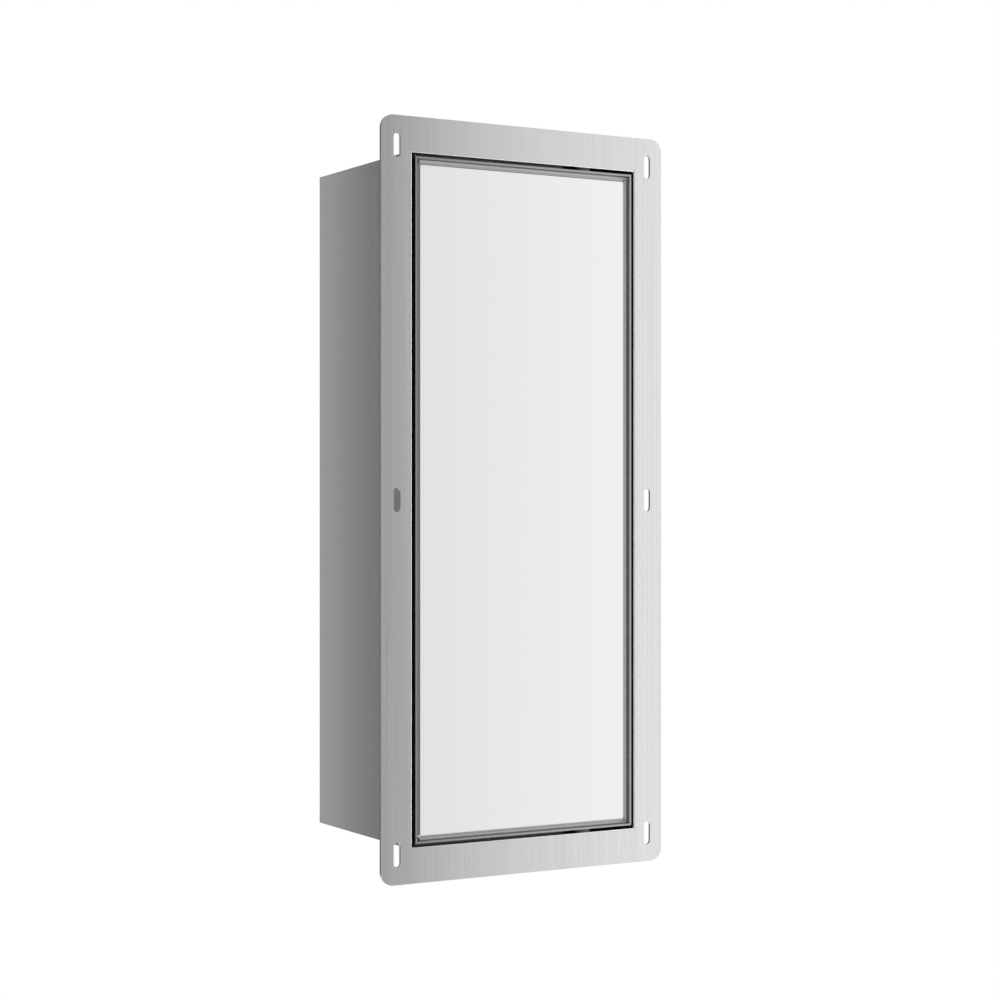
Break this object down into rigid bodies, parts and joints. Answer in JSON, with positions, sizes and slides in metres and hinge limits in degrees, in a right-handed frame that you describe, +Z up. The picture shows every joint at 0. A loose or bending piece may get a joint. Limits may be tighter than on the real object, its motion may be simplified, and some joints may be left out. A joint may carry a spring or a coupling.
{
  "type": "medicine cabinet with mirror",
  "caption": "Recessed stainless medicine cabinet with a flanged front, a flush bevelled-mirror door on pivots, a push latch and glass shelves.",
  "frame": {"origin": "centre of the flange's wall side, on the wall plane", "axes": "+X to the right, +Y into the wall, +Z up; the flange stands at -Y of the wall plane and the box at +Y of it"},
  "size_m": [0.24, 0.152, 0.55],
  "materials": {
    "brushed_stainless_sheet": "vertical brushed grain",
    "plain_stainless_bar": "mill finish",
    "turned_stainless": "turned",
    "white_nylon": "natural nylon",
    "black_foam": "closed-cell foam",
    "clear_silicone": "satin",
    "shelf_glass": "polished edges",
    "black_plastic": "fine texture",
    "plated_magnet": "nickel plated",
    "spring_steel": "bright wire",
    "zinc_plated_steel": "bright zinc",
    "mirror_pane": "silvered, bevelled",
    "grey_foam_tape": "matte"
  },
  "bodies": {
    "cabinet": {"flange_frame": "brushed_stainless_sheet", "left_side_panel": "brushed_stainless_sheet", "right_side_panel": "brushed_stainless_sheet", "top_panel": "brushed_stainless_sheet", "bottom_panel": "brushed_stainless_sheet", "back_panel": "brushed_stainless_sheet", "upper_pivot_plate": "plain_stainless_bar", "lower_pivot_plate": "plain_stainless_bar", "upper_pivot_bush": "white_nylon", "lower_pivot_pin": "turned_stainless", "lower_thrust_washer": "white_nylon", "top_stop_angle": "brushed_stainless_sheet", "bottom_stop_angle": "brushed_stainless_sheet", "left_stop_angles": "brushed_stainless_sheet", "top_seal": "black_foam", "bottom_seal": "black_foam", "left_seals": "black_foam", "lower_shelf_studs": "turned_stainless", "upper_shelf_studs": "turned_stainless", "lower_stud_sleeves": "clear_silicone", "upper_stud_sleeves": "clear_silicone", "lower_glass_shelf": "shelf_glass", "upper_glass_shelf": "shelf_glass", "latch_housing": "black_plastic", "latch_spring": "spring_steel", "latch_studs": "zinc_plated_steel", "latch_washers": "zinc_plated_steel", "latch_nuts": "zinc_plated_steel"},
    "door": {"door_tray": "brushed_stainless_sheet", "door_back_cover": "brushed_stainless_sheet", "door_cover_screws": "zinc_plated_steel", "door_stiffeners": "plain_stainless_bar", "mirror_glass": "mirror_pane", "mirror_tape": "grey_foam_tape", "lower_pivot_block": "white_nylon", "upper_bolt_guides": "white_nylon", "bolt_spring": "spring_steel", "strike_plate": "zinc_plated_steel", "strike_screws": "zinc_plated_steel"},
    "pivot_bolt": {"pivot_bolt": "turned_stainless", "bolt_clip": "spring_steel", "bolt_thumb_knob": "turned_stainless"},
    "latch_plunger": {"latch_plunger": "black_plastic", "plunger_magnet": "plated_magnet"}
  },
  "joints": [
    {"name": "door_hinge", "type": "hinge", "parent": "cabinet", "child": "door", "pos_m": [0.05662, 0.0104, 0], "axis": [0, 0, 1], "range_deg": [0, 110]},
    {"name": "pivot_bolt_slide", "type": "slide", "parent": "door", "child": "pivot_bolt", "axis": [0, 0, -1], "range_m": [0, 0.0065], "stiffness_N_per_m": 300, "springref_m": -0.006, "deforming": ["bolt_spring"]},
    {"name": "latch_plunger_slide", "type": "slide", "parent": "cabinet", "child": "latch_plunger", "axis": [0, 1, 0], "range_m": [0, 0.0025], "stiffness_N_per_m": 400, "springref_m": -0.004, "deforming": ["latch_spring"]}
  ]
}
